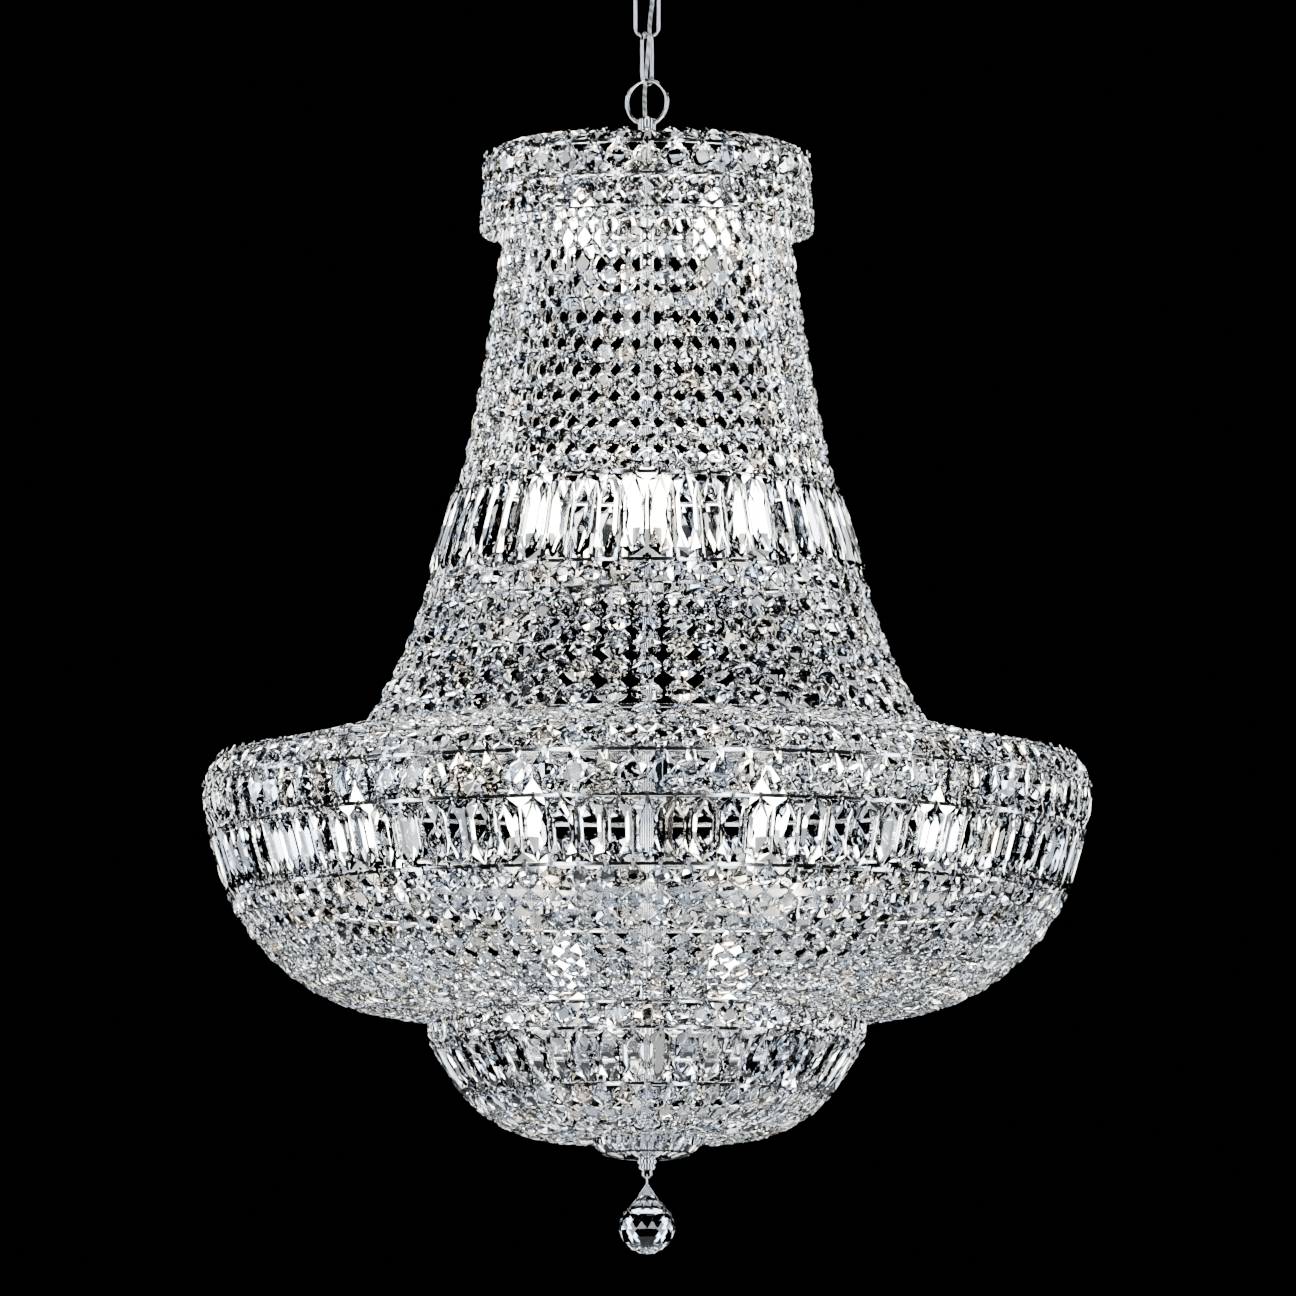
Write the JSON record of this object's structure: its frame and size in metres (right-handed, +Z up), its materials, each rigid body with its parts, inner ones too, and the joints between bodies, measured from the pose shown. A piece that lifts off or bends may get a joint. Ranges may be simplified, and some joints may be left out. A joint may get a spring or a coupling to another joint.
{
  "type": "crystal chandelier",
  "caption": "Tiered empire chandelier of cut crystal strands and prisms on chrome rings, hung from a ceiling cup by a short chain, with a cut ball below.",
  "frame": {"origin": "middle of the ceiling cup's rim, in the plane of the ceiling, which is also the middle of the crossbar's two screw slots", "axes": "+Z up, out of the ceiling; the picture looks along +Y with +X to the right, so the whole fixture lies below zero"},
  "size_m": [0.7064, 0.7064, 1.0616],
  "materials": {
    "chrome": "polished",
    "zinc_steel": "zinc plated",
    "crystal": "cut and polished",
    "dish_glass": "pressed and polished",
    "bulb_glass": "clear",
    "sleeve": "satin white",
    "holder": "matte black",
    "cord_jacket": "clear jacket over tinned wire",
    "pin_wire": "polished"
  },
  "bodies": {
    "ceiling_fitting": {"crossbar": "zinc_steel", "nipple": "chrome", "lock_nut": "zinc_steel", "ceiling_cup": "chrome", "screw_collar": "chrome", "ceiling_loop": "chrome", "cord_upper": "cord_jacket"},
    "link_one": {"upper_link": "chrome", "cord_middle": "cord_jacket"},
    "link_two": {"lower_link": "chrome", "cord_lower": "cord_jacket"},
    "fixture": {"hanging_ring": "chrome", "coupling": "chrome", "stem": "chrome", "crown_plate": "chrome", "crown_mouth_ring": "chrome", "crown_top_ring": "chrome", "crown_line_ring": "chrome", "neck_ring": "chrome", "neck_foot_ring": "chrome", "shoulder_ring": "chrome", "shoulder_edge_ring": "chrome", "rim_ring": "chrome", "basin_prism_ring": "chrome", "basin_ring": "chrome", "lower_top_ring": "chrome", "lower_ring": "chrome", "tail_ring": "chrome", "crown_spider": "chrome", "upper_lamp_arms": "chrome", "neck_lamp_arms": "chrome", "shoulder_spider": "chrome", "basin_lamp_arms": "chrome", "lower_lamp_arms": "chrome", "crown_ribs": "chrome", "neck_ribs": "chrome", "basin_ribs": "chrome", "lower_ribs": "chrome", "crown_shoulder_octagons": "crystal", "crown_octagons": "crystal", "crown_drops": "crystal", "crown_fringe": "crystal", "neck_strands": "crystal", "neck_prisms": "crystal", "neck_drape": "crystal", "shoulder_strands": "crystal", "rim_shoulder_octagons": "crystal", "rim_octagons": "crystal", "basin_prisms": "crystal", "basin_strands": "crystal", "lower_octagons": "crystal", "lower_prisms": "crystal", "tail_strands": "crystal", "lamp_holders": "holder", "candle_sleeves": "sleeve", "bulbs": "bulb_glass", "bottom_dish": "dish_glass", "finial_nut": "chrome"},
    "hook": {"ball_hook": "pin_wire"},
    "ball": {"crystal_ball": "crystal"}
  },
  "joints": [
    {"name": "loop_hinge", "type": "hinge", "parent": "ceiling_fitting", "child": "link_one", "pos_m": [0, 0, -0.0561], "axis": [0, 1, 0], "range_deg": [-25, 25], "deforming": ["cord_upper"]},
    {"name": "chain_hinge", "type": "hinge", "parent": "link_one", "child": "link_two", "pos_m": [0, 0, -0.0934], "axis": [1, 0, 0], "range_deg": [-25, 25], "deforming": ["cord_middle"]},
    {"name": "ring_hinge", "type": "hinge", "parent": "link_two", "child": "fixture", "pos_m": [0, 0, -0.1314], "axis": [0.4226, 0.9063, 0], "range_deg": [-25, 25], "deforming": ["cord_lower"]},
    {"name": "eye_hinge", "type": "hinge", "parent": "fixture", "child": "hook", "pos_m": [0, 0, -1.0005], "axis": [1, 0, 0], "range_deg": [-40, 40]},
    {"name": "ball_hinge", "type": "hinge", "parent": "hook", "child": "ball", "pos_m": [0, 0, -1.0082], "axis": [0, 1, 0], "range_deg": [-40, 40]}
  ]
}
